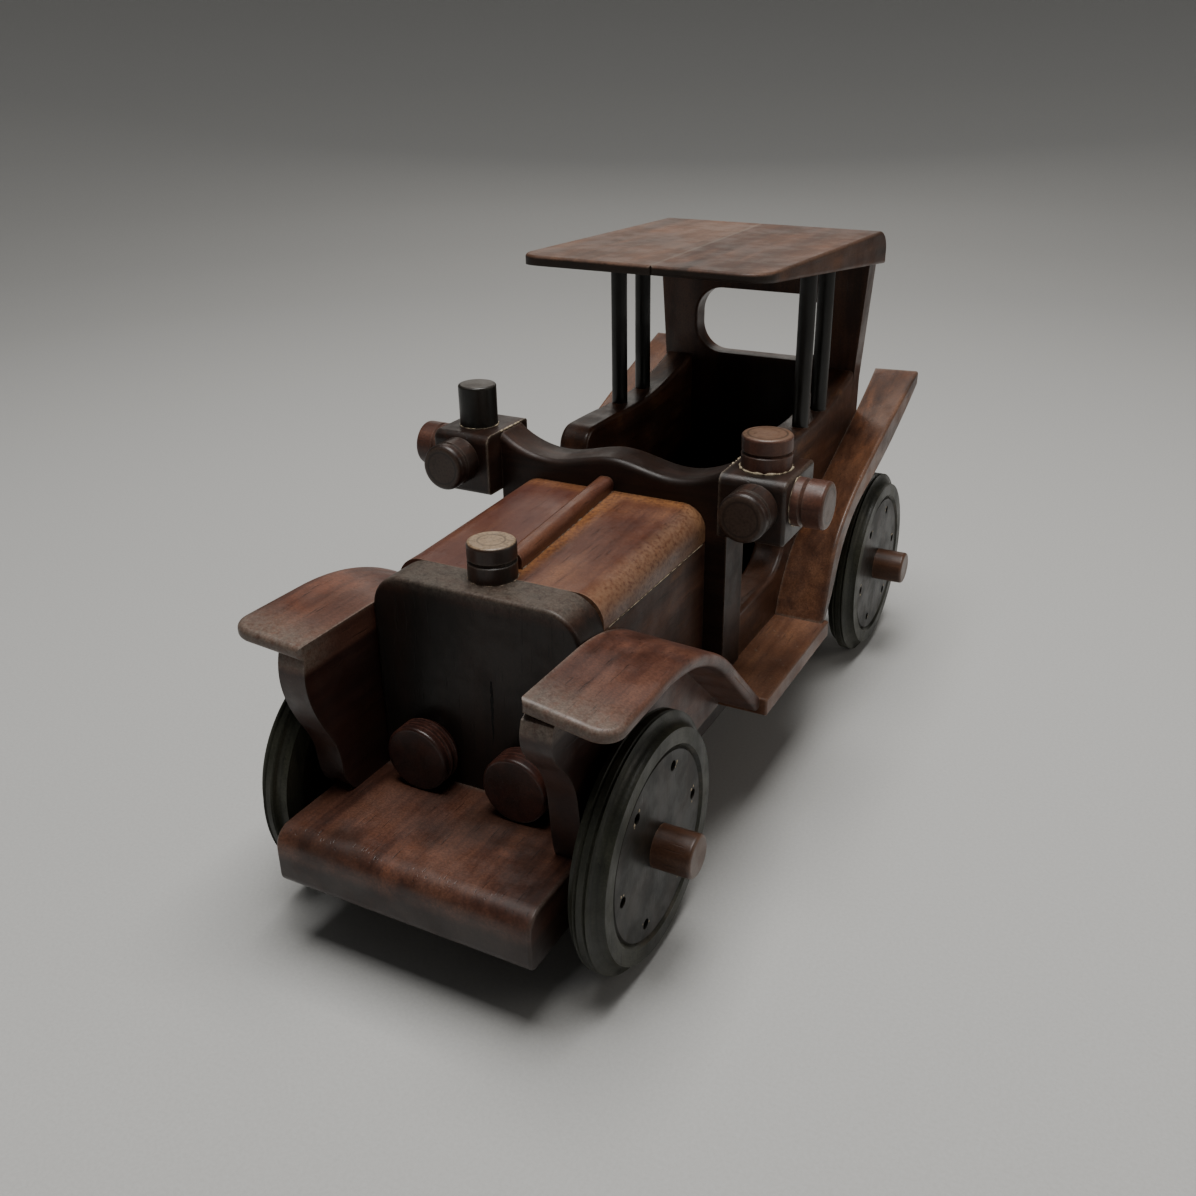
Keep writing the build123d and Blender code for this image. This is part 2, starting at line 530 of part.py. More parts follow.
# Wheels, each turned in one piece, with its hub peg, and the axle that joins each pair
for place, station in {"front": FRONT_AXLE, "rear": REAR_AXLE}.items():
    centre_y = at(station)
    for side, sign in SIDES.items():
        section = Plane(origin=(sign * WHEEL_INNER_X, centre_y, WHEEL_RADIUS), x_dir=(sign, 0, 0),
                        z_dir=(0, -1, 0))
        disc = WHEEL_THICKNESS - DISC_RECESS
        with BuildPart() as wheel:
            with BuildSketch(section):
                with BuildLine():
                    outline = [(WHEEL_THICKNESS - WHEEL_SHOULDER, WHEEL_RADIUS)]
                    for middle in reversed(TREAD_GROOVES):
                        outline += [(middle + TREAD_GROOVE_HALF, WHEEL_RADIUS),
                                    (middle, WHEEL_RADIUS - TREAD_GROOVE_DEPTH),
                                    (middle - TREAD_GROOVE_HALF, WHEEL_RADIUS)]
                    Polyline(*outline)
                    inner_end = outline[-1]
                    inner_round = RadiusArc(inner_end, (0, WHEEL_RADIUS - inner_end[0]), inner_end[0])
                    Polyline(inner_round @ 1, (0, AXLE_RADIUS), (disc, AXLE_RADIUS),
                             (disc, DISC_RADIUS - 0.7), (disc - 0.9, DISC_RADIUS),
                             (WHEEL_THICKNESS, DISC_RADIUS + 1.0),
                             (WHEEL_THICKNESS, WHEEL_RADIUS - WHEEL_SHOULDER))
                    RadiusArc((WHEEL_THICKNESS, WHEEL_RADIUS - WHEEL_SHOULDER), outline[0], WHEEL_SHOULDER)
                make_face()
            revolve(axis=Axis(section.origin, section.x_dir))
            with BuildSketch(Plane(origin=section.origin + section.x_dir * WHEEL_THICKNESS,
                                   x_dir=(0, 1, 0), z_dir=(sign, 0, 0))):
                with PolarLocations(HOLE_CIRCLE, LIGHTENING_HOLES, start_angle=8):
                    Circle(HOLE_RADIUS)
            extrude(amount=-HOLE_DEPTH, mode=Mode.SUBTRACT)
        write(wheel, f"wheel_{place}_{side}")
        peg_base = WHEEL_INNER_X + disc
        peg = turned((sign * peg_base, centre_y, WHEEL_RADIUS), (sign, 0, 0), HUB_PEG_RADIUS,
                     HUB_PEG_END_X - peg_base)
        with peg:
            with BuildSketch(Plane.YZ.offset(sign * peg_base)) as socket:
                with Locations((centre_y, WHEEL_RADIUS)):
                    Circle(AXLE_RADIUS)
            extrude(socket.sketch, amount=sign * (AXLE_END_X - peg_base), mode=Mode.SUBTRACT)
        write(peg, f"hub_peg_{place}_{side}")
    with BuildPart() as axle:
        with BuildSketch(Plane.YZ):
            with Locations((centre_y, WHEEL_RADIUS)):
                Circle(AXLE_RADIUS)
        extrude(amount=AXLE_END_X, both=True)
    write(axle, f"axle_{place}")
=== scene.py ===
"""Looks for a hand-made wooden vintage model car: stained, lacquered and worn wood."""
import bpy
import random
from math import cos, pi, radians, sin
from mathutils import Matrix, Vector


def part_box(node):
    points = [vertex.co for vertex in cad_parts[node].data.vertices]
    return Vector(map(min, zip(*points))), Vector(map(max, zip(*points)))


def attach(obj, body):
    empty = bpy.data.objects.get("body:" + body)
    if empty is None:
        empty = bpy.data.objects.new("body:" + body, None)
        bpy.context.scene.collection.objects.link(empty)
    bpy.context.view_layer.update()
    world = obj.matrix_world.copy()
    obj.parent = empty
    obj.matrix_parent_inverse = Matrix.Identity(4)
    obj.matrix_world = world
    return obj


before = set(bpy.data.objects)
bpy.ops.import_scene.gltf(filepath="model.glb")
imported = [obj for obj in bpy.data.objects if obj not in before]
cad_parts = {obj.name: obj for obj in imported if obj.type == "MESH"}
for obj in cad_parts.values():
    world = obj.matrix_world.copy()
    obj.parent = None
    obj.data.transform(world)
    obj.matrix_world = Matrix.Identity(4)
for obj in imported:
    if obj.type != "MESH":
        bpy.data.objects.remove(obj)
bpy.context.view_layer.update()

MM = 0.001
random.seed(7)


# ---------------------------------------------------------------- camera, floor and light

CAMERA_PLACE = Vector((168.07, -346.51, 240.47)) * MM
CAMERA_AZIMUTH = radians(28.15)
CAMERA_ELEVATION = radians(25.417)
CAMERA_ROLL = radians(-0.8795)
CAMERA_LENS = 35.68
SENSOR_WIDTH = 36
NEAR_CLIP = 10 * MM
LAMP_ASPECT = 0.7
SKY_COLOUR = (0.80, 0.80, 0.79, 1)
SKY_STRENGTH = 0.12


def link(thing):
    bpy.context.scene.collection.objects.link(thing)


def make_camera():
    """The camera's axes come from its bearing round the car, its height angle and its roll."""
    a, e, r = CAMERA_AZIMUTH, CAMERA_ELEVATION, CAMERA_ROLL
    back = Vector((sin(a) * cos(e), -cos(a) * cos(e), sin(e)))
    right = Vector((cos(a), sin(a), 0))
    up = back.cross(right)
    turned_right = right * cos(r) + up * sin(r)
    turned_up = up * cos(r) - right * sin(r)
    data = bpy.data.cameras.new("camera")
    data.lens = CAMERA_LENS
    data.sensor_width = SENSOR_WIDTH
    data.clip_start = NEAR_CLIP
    camera = bpy.data.objects.new("camera", data)
    axes = Matrix((turned_right, turned_up, back)).transposed()
    camera.matrix_world = Matrix.Translation(CAMERA_PLACE) @ axes.to_4x4()
    link(camera)
    bpy.context.scene.camera = camera


def soft_lamp(name, place, target, width, power, tint):
    """An area lamp at place, aimed at target, both in metres."""
    data = bpy.data.lights.new(name, "AREA")
    data.shape = "RECTANGLE"
    data.size = width
    data.size_y = LAMP_ASPECT * width
    data.energy = power
    data.color = tint
    lamp = bpy.data.objects.new(name, data)
    lamp.location = place
    aim = Vector(target) - Vector(place)
    lamp.rotation_euler = aim.to_track_quat("-Z", "Y").to_euler()
    link(lamp)


def make_studio():
    """A wide soft lamp overhead, a weak lower one behind the car, and a weak fill on its left."""
    soft_lamp("key", (0.02, -0.02, 1.10), (0, -0.02, 0.05), 0.80, 14.0, (1, 0.985, 0.96))
    soft_lamp("back", (-0.45, 1.10, 0.62), (0, 0, 0.08), 0.8, 1.3, (1, 0.95, 0.88))
    soft_lamp("side_fill", (0.95, 0.25, 0.55), (0, 0, 0.06), 0.6, 1.3, (1, 0.93, 0.85))
    world = bpy.data.worlds.new("studio")
    world.use_nodes = True
    shade = world.node_tree.nodes["Background"]
    shade.inputs["Color"].default_value = SKY_COLOUR
    shade.inputs["Strength"].default_value = SKY_STRENGTH
    bpy.context.scene.world = world


# ---------------------------------------------------------------- material helpers

BEVEL_SAMPLES = 4
FLAT_COSINE = 0.99
EDGE_COSINE = 0.86


class Shader:
    """A material's node tree, with short names for the nodes used here."""

    def __init__(self, name):
        self.material = bpy.data.materials.new(name)
        self.material.use_nodes = True
        self.tree = self.material.node_tree
        self.surface = self.tree.nodes["Principled BSDF"]
        self.place = self.add("TexCoord").outputs["Object"]

    def add(self, kind, **settings):
        node = self.tree.nodes.new("ShaderNode" + kind)
        for key, value in settings.items():
            setattr(node, key, value)
        return node

    def feed(self, socket, value):
        """Links the socket to value if value is another node's output, and otherwise sets it."""
        if isinstance(value, bpy.types.NodeSocket):
            self.tree.links.new(value, socket)
        else:
            socket.default_value = value

    def stretched(self, scale, offset=(0, 0, 0), turn=(0, 0, 0)):
        node = self.add("Mapping")
        self.feed(node.inputs["Vector"], self.place)
        node.inputs["Scale"].default_value = scale
        node.inputs["Location"].default_value = offset
        node.inputs["Rotation"].default_value = turn
        return node.outputs["Vector"]

    def noise(self, vector, scale=1.0, detail=4.0, roughness=0.55, distortion=0.0):
        node = self.add("TexNoise")
        self.feed(node.inputs["Vector"], vector)
        node.inputs["Scale"].default_value = scale
        node.inputs["Detail"].default_value = detail
        node.inputs["Roughness"].default_value = roughness
        node.inputs["Distortion"].default_value = distortion
        return node.outputs["Fac"]

    def math(self, operation, first, second=0.0, clamp=False):
        """The result of any Math operation; the second value is unused by those that take one."""
        node = self.add("Math", operation=operation, use_clamp=clamp)
        self.feed(node.inputs[0], first)
        self.feed(node.inputs[1], second)
        return node.outputs[0]

    def product(self, *values):
        result = values[0]
        for value in values[1:]:
            result = self.math("MULTIPLY", result, value)
        return result

    def span(self, value, low, high, start=0.0, end=1.0):
        """value, from low to high, becomes start to end, smoothly and held at both ends."""
        node = self.add("MapRange", interpolation_type="SMOOTHSTEP")
        self.feed(node.inputs["Value"], value)
        limits = {"From Min": low, "From Max": high, "To Min": start, "To Max": end}
        for key, number in limits.items():
            node.inputs[key].default_value = number
        return node.outputs["Result"]

    def ramp(self, value, stops):
        """A colour ramp over value; stops are (position, colour) from low to high."""
        node = self.add("ValToRGB")
        self.feed(node.inputs["Fac"], value)
        marks = node.color_ramp.elements
        while len(marks) < len(stops):
            marks.new(0.5)
        for mark, (position, colour) in zip(marks, stops):
            mark.position = position
            mark.color = (*colour, 1)
        return node.outputs["Color"]

    def mix(self, amount, first, second):
        """first where amount is 0, and second where it is 1; both are colours."""
        node = self.add("Mix", data_type="RGBA")
        self.feed(node.inputs["Factor"], amount)
        colours = [socket for socket in node.inputs if socket.type == "RGBA"]
        for socket, value in zip(colours, (first, second)):
            self.feed(socket, (*value, 1) if isinstance(value, tuple) else value)
        return [socket for socket in node.outputs if socket.type == "RGBA"][0]

    def axis(self, letter):
        node = self.add("SeparateXYZ")
        self.feed(node.inputs[0], self.place)
        return node.outputs[letter]

    def relief(self, height, strength, depth):
        bump = self.add("Bump")
        bump.inputs["Strength"].default_value = strength
        bump.inputs["Distance"].default_value = depth
        self.feed(bump.inputs["Height"], height)
        self.feed(self.surface.inputs["Normal"], bump.outputs["Normal"])

    def edges(self, radius):
        """1 near the sharp edges of the piece, 0 on its flats."""
        bevel = self.add("Bevel", samples=BEVEL_SAMPLES)
        bevel.inputs["Radius"].default_value = radius
        plain = self.add("NewGeometry").outputs["Normal"]
        product = self.add("VectorMath", operation="DOT_PRODUCT")
        self.feed(product.inputs[0], bevel.outputs["Normal"])
        self.feed(product.inputs[1], plain)
        return self.span(product.outputs["Value"], FLAT_COSINE, EDGE_COSINE)


GRAIN_SCALES = {"X": (14, 190, 190), "Y": (190, 14, 190), "Z": (190, 190, 14)}
PORE_SCALES = {"X": (90, 1500, 1500), "Y": (1500, 90, 1500), "Z": (1500, 1500, 90)}
FINE_SHARE = 0.50
FIGURE_SHARE = 0.36
BLOTCH_SHARE = 0.36
TONE_POSITIONS = (0.44, 0.58, 0.72)
PORE_STRENGTH = 0.55
GRIT_STRENGTH = 0.30
WEAR_DULLING = 0.10
LACQUER_WEIGHT = 0.12
LACQUER_ROUGHNESS = 0.28
BUMP_STRENGTH = 0.35
BUMP_HEIGHT = 0.25 * MM
FENDER_PLATE_LEVELS = (84 * MM, 88 * MM)


def shade_of(colour, share):
    return tuple(share * channel for channel in colour)


def wood(name, tones, grain="Y", offset=0.0, turn=(0, 0, 0), wear=(0.13, 0.10, 0.08), wear_amount=0.5,
         edge=1.1 * MM, streaks=0.0, streak_tone=(0.36, 0.16, 0.05), rough=(0.30, 0.52), gloss=0.42,
         front_wear=None, top_wear=None, extra=None):
    """Stained and lacquered wood: long grain, stain blotches, dark pores, and worn paler edges.

    tones are the dark, middle and light colours. front_wear and top_wear are (start, end) in metres
    along Y or Z between which the lacquer wears away. streaks adds rubbed amber marks."""
    shader = Shader(name)
    shift = (offset, 0.37 * offset, 0.71 * offset)
    along = shader.stretched(GRAIN_SCALES[grain], shift, turn)
    fine = shader.noise(along, 1.0, 8.0, 0.62, 0.35)
    figure = shader.noise(along, 0.28, 3.0, 0.5, 0.8)
    blotch = shader.noise(shader.place, 34.0, 3.0, 0.5, 0.4)
    pores = shader.noise(shader.stretched(PORE_SCALES[grain], shift, turn), 1.0, 2.0, 0.5)
    tone = shader.product(fine, FINE_SHARE)
    tone = shader.math("ADD", tone, shader.product(figure, FIGURE_SHARE))
    tone = shader.math("ADD", tone, shader.product(blotch, BLOTCH_SHARE))
    dark = tones[0]
    colour = shader.ramp(tone, list(zip(TONE_POSITIONS, tones)))
    if streaks:
        rubbed = shader.span(shader.noise(shader.place, 46.0, 4.0, 0.6, 0.2), 0.50, 0.66)
        rubbed = shader.product(rubbed, shader.span(fine, 0.42, 0.64))
        colour = shader.mix(shader.product(rubbed, streaks), colour, streak_tone)
    pore_mask = shader.span(pores, 0.36, 0.27)
    colour = shader.mix(shader.product(pore_mask, PORE_STRENGTH), colour, shade_of(dark, 0.25))
    broken = shader.noise(shader.place, 620.0, 7.0, 0.75)
    rubbing = shader.edges(edge)
    if front_wear:
        plate = shader.span(shader.axis("Z"), *FENDER_PLATE_LEVELS)
        nose = shader.product(plate, shader.span(shader.axis("Y"), *front_wear))
        rubbing = shader.math("MAXIMUM", rubbing, nose)
    if top_wear:
        rubbing = shader.math("MAXIMUM", rubbing, shader.span(shader.axis("Z"), *top_wear))
    rubbing = shader.product(rubbing, shader.span(broken, 0.30, 0.60, 0.25, 1.0))
    colour = shader.mix(shader.product(rubbing, wear_amount), colour, wear)
    grit = shader.span(shader.noise(shader.place, 1500.0, 3.0, 0.6), 0.62, 0.40, 0.0, GRIT_STRENGTH)
    colour = shader.mix(grit, colour, shade_of(dark, 0.5))
    if extra:
        colour = extra(shader, colour)
    surface = shader.surface
    shader.feed(surface.inputs["Base Color"], colour)
    smudge = shader.span(shader.noise(shader.place, 90.0, 4.0, 0.6), 0.35, 0.68, *rough)
    dulled = shader.math("ADD", smudge, shader.product(rubbing, WEAR_DULLING), clamp=True)
    shader.feed(surface.inputs["Roughness"], dulled)
    surface.inputs["Specular IOR Level"].default_value = gloss
    surface.inputs["Coat Weight"].default_value = LACQUER_WEIGHT
    surface.inputs["Coat Roughness"].default_value = LACQUER_ROUGHNESS
    height = shader.math("SUBTRACT", shader.product(fine, 0.5), shader.product(pore_mask, 0.6))
    height = shader.math("ADD", height, shader.product(broken, 0.45))
    shader.relief(height, BUMP_STRENGTH, BUMP_HEIGHT)
    return shader.material


def distance_from(shader, centre, across):
    """Distance from a line through centre; across names the two axes square to the line."""
    parts = []
    for letter in across:
        gap = shader.math("SUBTRACT", shader.axis(letter), centre["XYZ".index(letter)])
        parts.append(shader.product(gap, gap))
    return shader.math("SQRT", shader.math("ADD", *parts))


def turned_end(centre, across, radius, face, face_axis, tone, ring=0.55):
    """Paler end grain on the far face of a turned peg, with a scribed ring round it.

    face is where the far face lies along face_axis; ring is a share of the radius."""
    def paint(shader, colour):
        away = distance_from(shader, centre, across)
        level = shader.axis(face_axis)
        if face_axis != "Z":
            level = shader.math("ABSOLUTE", level)
        top = shader.span(level, abs(face) - 0.5 * MM, abs(face) - 0.1 * MM)
        grit = shader.span(shader.noise(shader.place, 1100.0, 5.0, 0.7), 0.30, 0.60, 0.35, 1.0)
        colour = shader.mix(shader.product(top, grit, 0.8), colour, tone)
        near = shader.math("ABSOLUTE", shader.math("SUBTRACT", away, ring * radius))
        line = shader.product(shader.span(near, 0.45 * MM, 0.15 * MM), top)
        return shader.mix(shader.product(line, 0.75), colour, shade_of(tone, 0.28))
    return paint


# ---------------------------------------------------------------- materials of the CAD pieces

BONNET_TONES = ((0.040, 0.013, 0.009), (0.100, 0.036, 0.021), (0.165, 0.070, 0.038))
ROOF_TONES = ((0.034, 0.018, 0.011), (0.078, 0.038, 0.023), (0.130, 0.066, 0.040))
FENDER_TONES = ((0.024, 0.010, 0.007), (0.082, 0.032, 0.021), (0.150, 0.064, 0.040))
APRON_TONES = ((0.018, 0.008, 0.006), (0.070, 0.028, 0.018), (0.130, 0.056, 0.034))
LAMP_TONES = ((0.009, 0.004, 0.003), (0.030, 0.011, 0.008), (0.070, 0.024, 0.016))
BODY_TONES = ((0.016, 0.007, 0.004), (0.052, 0.021, 0.011), (0.115, 0.046, 0.023))
DARK_TONES = ((0.006, 0.004, 0.003), (0.018, 0.009, 0.006), (0.042, 0.018, 0.011))
SLOPE_TONES = ((0.034, 0.014, 0.009), (0.118, 0.050, 0.027), (0.215, 0.098, 0.052))
BLACK_TONES = ((0.003, 0.003, 0.002), (0.008, 0.007, 0.005), (0.017, 0.014, 0.010))
PEG_TONES = ((0.028, 0.012, 0.007), (0.080, 0.036, 0.020), (0.140, 0.066, 0.038))
TYRE_TONES = ((0.011, 0.012, 0.008), (0.030, 0.031, 0.021), (0.060, 0.060, 0.041))
PALE_WEAR = (0.240, 0.205, 0.165)
GREY_WEAR = (0.150, 0.125, 0.100)
AMBER = (0.340, 0.150, 0.050)
END_GRAIN = (0.340, 0.240, 0.150)
# Near-black of the painted shade on the radiator's face and of the painted shadow inside the cabin.
PAINTED_SHADE_BLACK = (0.006, 0.005, 0.004)

# Where marks fade in, from none to full, in metres along X, Y or Z.
BONNET_RIGHT_HALF = (1.0 * MM, -3.0 * MM)
BONNET_LEFT_HALF = (0.5 * MM, 1.5 * MM)
BONNET_SHOULDER = (26 * MM, 31 * MM)
BONNET_BACK = (-31 * MM, -25 * MM)
# ROOF_FRONT and ROOF_RIM bound the painted shade on the roof's front face and underside.
ROOF_FRONT = (12 * MM, 4 * MM)
ROOF_RIM = (174.0 * MM, 173.3 * MM)
# PANEL_TOP and PANEL_FRONT bound the painted shade on the fender panels.
PANEL_TOP = (87.0 * MM, 84.5 * MM)
PANEL_FRONT = (-98 * MM, -104 * MM)
FENDER_NOSE = (-118 * MM, -140 * MM)
# APRON_UNDERSIDE bounds the painted shade under the apron's bullnose.
APRON_UNDERSIDE = (34.5 * MM, 30.0 * MM)
# RADIATOR_FACE bounds the painted shade on the radiator's face.
RADIATOR_FACE = (100.5 * MM, 98.5 * MM)
RADIATOR_BAND = (100.0 * MM, 103.6 * MM)
# CABIN_BACK and CABIN_SHADOW_TOP bound the painted shadow inside the cabin.
CABIN_BACK = (110.5 * MM, 108.5 * MM)
CABIN_SHADOW_TOP = (121 * MM, 116 * MM)

PEG_RADIUS = 7.5 * MM
CAP_RADIUS = 7.1 * MM
FRONT_PEG_RADIUS = 7.7 * MM
HUB_PEG_RADIUS = 6.4 * MM
DISC_RADIUS = 28.2 * MM
DISC_INNER = 27.4 * MM
RIM_RADIUS = 28.6 * MM
GROOVE_PITCH = 1.1 * MM
REAR_FENDER_SLANT = (radians(-22), 0, 0)


def paint_node(name, material):
    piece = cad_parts[name]
    for slot in piece.material_slots:
        slot.material = material


def finish(node, name, tones, grain, offset, **look):
    paint_node(node, wood(name, tones, grain, offset, **look))


def farthest_x(name):
    low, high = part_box(name)
    return max(abs(low[0]), abs(high[0]))


def centre_of(name):
    low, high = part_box(name)
    return (Vector(low) + Vector(high)) / 2


def finish_pegs():
    """Each turned peg has its own grain and a paler rubbed end; the headlamps are plain."""
    cap_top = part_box("radiator_cap")[1][2]
    paint = turned_end(centre_of("radiator_cap"), "XY", CAP_RADIUS, cap_top, "Z", END_GRAIN)
    finish("radiator_cap", "cap_wood", DARK_TONES, "Z", 3.1, wear=PALE_WEAR, extra=paint)
    top_looks = {"left": (FENDER_TONES, (0.170, 0.105, 0.068)),
                 "right": (BLACK_TONES, (0.035, 0.026, 0.019))}
    for number, side in enumerate(("left", "right")):
        top = f"lamp_top_peg_{side}"
        tones, tone = top_looks[side]
        paint = turned_end(centre_of(top), "XY", PEG_RADIUS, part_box(top)[1][2], "Z", tone, 0.8)
        finish(top, f"{top}_wood", tones, "Z", 5 + number, wear=GREY_WEAR, extra=paint)

        front = f"lamp_front_peg_{side}"
        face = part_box(front)[0][1]
        paint = turned_end(centre_of(front), "XZ", FRONT_PEG_RADIUS, face, "Y", (0.070, 0.045, 0.032), 0.7)
        finish(front, f"{front}_wood", DARK_TONES, "Y", 7 + number, wear=GREY_WEAR, extra=paint)

        outer = f"lamp_outer_peg_{side}"
        face = farthest_x(outer)
        paint = turned_end(centre_of(outer), "YZ", PEG_RADIUS, face, "X", (0.105, 0.062, 0.040), 0.7)
        finish(outer, f"{outer}_wood", FENDER_TONES, "X", 9 + number, wear=GREY_WEAR, extra=paint)

        lamp = f"headlamp_{side}"
        finish(lamp, f"{lamp}_wood", LAMP_TONES, "Y", 11 + number, wear=(0.170, 0.060, 0.040),
               wear_amount=0.8, edge=0.9 * MM)
        for place in ("front", "rear"):
            hub = f"hub_peg_{place}_{side}"
            face = farthest_x(hub)
            paint = turned_end(centre_of(hub), "YZ", HUB_PEG_RADIUS, face, "X", (0.120, 0.066, 0.040), 0.0)
            finish(hub, f"{hub}_wood", PEG_TONES, "X", 13 + 2 * number + (place == "rear"),
                   wear=(0.26, 0.15, 0.09), extra=paint)


def bonnet_marks(shader, colour):
    """Amber rubbing beside the rib and at the firewall, a redder right half, a paler left shoulder."""
    across = shader.axis("X")
    grit = shader.span(shader.noise(shader.place, 800.0, 7.0, 0.72), 0.32, 0.60)
    near_rib = shader.span(shader.math("SUBTRACT", across, 2 * MM), 8 * MM, 1 * MM)
    left_half = shader.span(across, *BONNET_LEFT_HALF)
    near_wall = shader.span(shader.axis("Y"), *BONNET_BACK)
    amber = shader.math("MAXIMUM", shader.product(near_rib, left_half), near_wall)
    colour = shader.mix(shader.product(amber, grit, 0.60), colour, AMBER)
    right_half = shader.span(across, *BONNET_RIGHT_HALF)
    colour = shader.mix(shader.product(right_half, 0.35), colour, (0.085, 0.026, 0.020))
    shoulder = shader.span(across, *BONNET_SHOULDER)
    return shader.mix(shader.product(shoulder, grit, 0.55), colour,
                      (0.270, 0.160, 0.095))


def roof_edge_painted_shade(shader, colour):
    """Painted shade: the roof's front face, and its underside near the front, are dark below its rubbed rim.
    """
    front = shader.span(shader.axis("Y"), *ROOF_FRONT)
    below = shader.span(shader.axis("Z"), *ROOF_RIM)
    # painted shade on faces turned away from the overhead lamp
    return shader.mix(shader.product(front, below, 0.85), colour,
                      (0.012, 0.010, 0.008))


def panel_painted_shade(shader, colour):
    """Painted shade on the panel under a fender's plate, which lies in the plate's shadow: darker and redder
    than the plate.
    """
    below = shader.span(shader.axis("Z"), *PANEL_TOP)
    ahead = shader.span(shader.axis("Y"), *PANEL_FRONT)
    # painted shade below the overhang of the fender's plate
    return shader.mix(shader.product(below, ahead, 0.78), colour,
                      (0.013, 0.005, 0.004))


def apron_painted_shade_and_stains(shader, colour):
    """Painted shade under the bullnose of the apron, and dark stain patches over the board."""
    below = shader.span(shader.axis("Z"), *APRON_UNDERSIDE)
    patch = shader.span(shader.noise(shader.place, 30.0, 3.0, 0.55, 0.3), 0.50, 0.64)
    # below: painted shade under the bullnose; patch: real dark stain
    amount = shader.math("MAXIMUM", shader.product(below, 0.80), shader.product(patch, 0.50))
    return shader.mix(amount, colour, (0.014, 0.009, 0.007))


def radiator_painted_shade(shader, colour):
    """Painted shade: the face is almost black below the rounded band."""
    face = shader.span(shader.axis("Z"), *RADIATOR_FACE)
    # painted shade on the front face, which is turned away from the overhead lamp
    return shader.mix(shader.product(face, 0.62), colour, PAINTED_SHADE_BLACK)


def cabin_shadow(shader, colour):
    """Painted shadow on the inside faces of the cabin, under the roof."""
    inside = shader.span(shader.axis("Y"), *CABIN_BACK)
    low = shader.span(shader.axis("Z"), *CABIN_SHADOW_TOP)
    # painted shadow, darkest low inside the cabin
    return shader.mix(shader.product(inside, low, 0.75), colour,
                      PAINTED_SHADE_BLACK)


def roof_tones(side):
    """The right roof board is the lighter one, and the left one is redder."""
    strength = {"left": 0.86, "right": 1.14}[side]
    tint = {"left": (1.05, 0.92, 0.84), "right": (1, 1, 1)}[side]
    return tuple(tuple(strength * channel * share for channel, share in zip(tone, tint))
                 for tone in ROOF_TONES)


def finish_body():
    finish("chassis_board", "chassis_wood", APRON_TONES, "Y", 1.3, wear=GREY_WEAR, edge=2.4 * MM,
           streaks=0.40, streak_tone=(0.200, 0.070, 0.035), extra=apron_painted_shade_and_stains)
    finish("radiator_plate", "radiator_wood", DARK_TONES, "Z", 2.2, wear=GREY_WEAR,
           top_wear=RADIATOR_BAND, wear_amount=0.55, rough=(0.36, 0.55), gloss=0.28,
           extra=radiator_painted_shade)
    finish("engine_block", "engine_wood", BODY_TONES, "Y", 4.4, wear=GREY_WEAR, streaks=0.25,
           rough=(0.42, 0.60), gloss=0.22)
    finish("bonnet_top", "bonnet_wood", BONNET_TONES, "Y", 6.7, wear=(0.28, 0.19, 0.12), edge=0.8 * MM,
           streaks=0.35, streak_tone=(0.250, 0.105, 0.045), extra=bonnet_marks)
    finish("bonnet_rib", "rib_wood", BONNET_TONES, "Y", 8.9, wear=(0.24, 0.15, 0.10), streaks=0.4)
    finish("firewall", "firewall_wood", DARK_TONES, "X", 1.9, wear=(0.160, 0.120, 0.095),
           wear_amount=0.8, rough=(0.38, 0.58), gloss=0.28)
    finish("running_board", "running_wood", SLOPE_TONES, "Y", 3.6, wear=PALE_WEAR, streaks=0.3)
    finish("floor_board", "floor_wood", BLACK_TONES, "Y", 5.2, wear_amount=0.2)
    finish("rear_panel", "rear_panel_wood", BODY_TONES, "Z", 2.7, wear=GREY_WEAR, extra=cabin_shadow)
    for number, side in enumerate(("left", "right")):
        finish(f"roof_board_{side}", f"roof_wood_{side}", roof_tones(side), "Y", 12.3 + 5 * number,
               wear=PALE_WEAR, wear_amount=0.7, edge=1.6 * MM, streaks=0.35,
               streak_tone=(0.24, 0.105, 0.055), rough=(0.42, 0.62), gloss=0.25, extra=roof_edge_painted_shade)
        finish(f"body_side_{side}", f"body_wood_{side}", BODY_TONES, "Y", 7.3 + number,
               wear=GREY_WEAR, streaks=0.3)
        finish(f"front_fender_{side}", f"front_fender_wood_{side}", FENDER_TONES, "Y", 9.4 + number,
               wear=(0.185, 0.155, 0.125), wear_amount=0.75, edge=1.8 * MM, front_wear=FENDER_NOSE,
               streaks=0.45, streak_tone=(0.200, 0.068, 0.036), extra=panel_painted_shade)
        finish(f"rear_fender_{side}", f"rear_fender_wood_{side}", SLOPE_TONES, "Y", 3.3 + number,
               turn=REAR_FENDER_SLANT, wear=PALE_WEAR, wear_amount=0.65, edge=1.5 * MM, streaks=0.55,
               streak_tone=(0.30, 0.110, 0.045))
        finish(f"side_lamp_{side}", f"side_lamp_wood_{side}", DARK_TONES, "Y", 5.7 + number,
               wear=(0.26, 0.21, 0.16), wear_amount=0.85, edge=1.6 * MM)
        for place in ("front", "rear"):
            finish(f"roof_post_{place}_{side}", f"post_wood_{place}_{side}", BLACK_TONES, "Z",
                   2.4 + number, wear_amount=0.25)


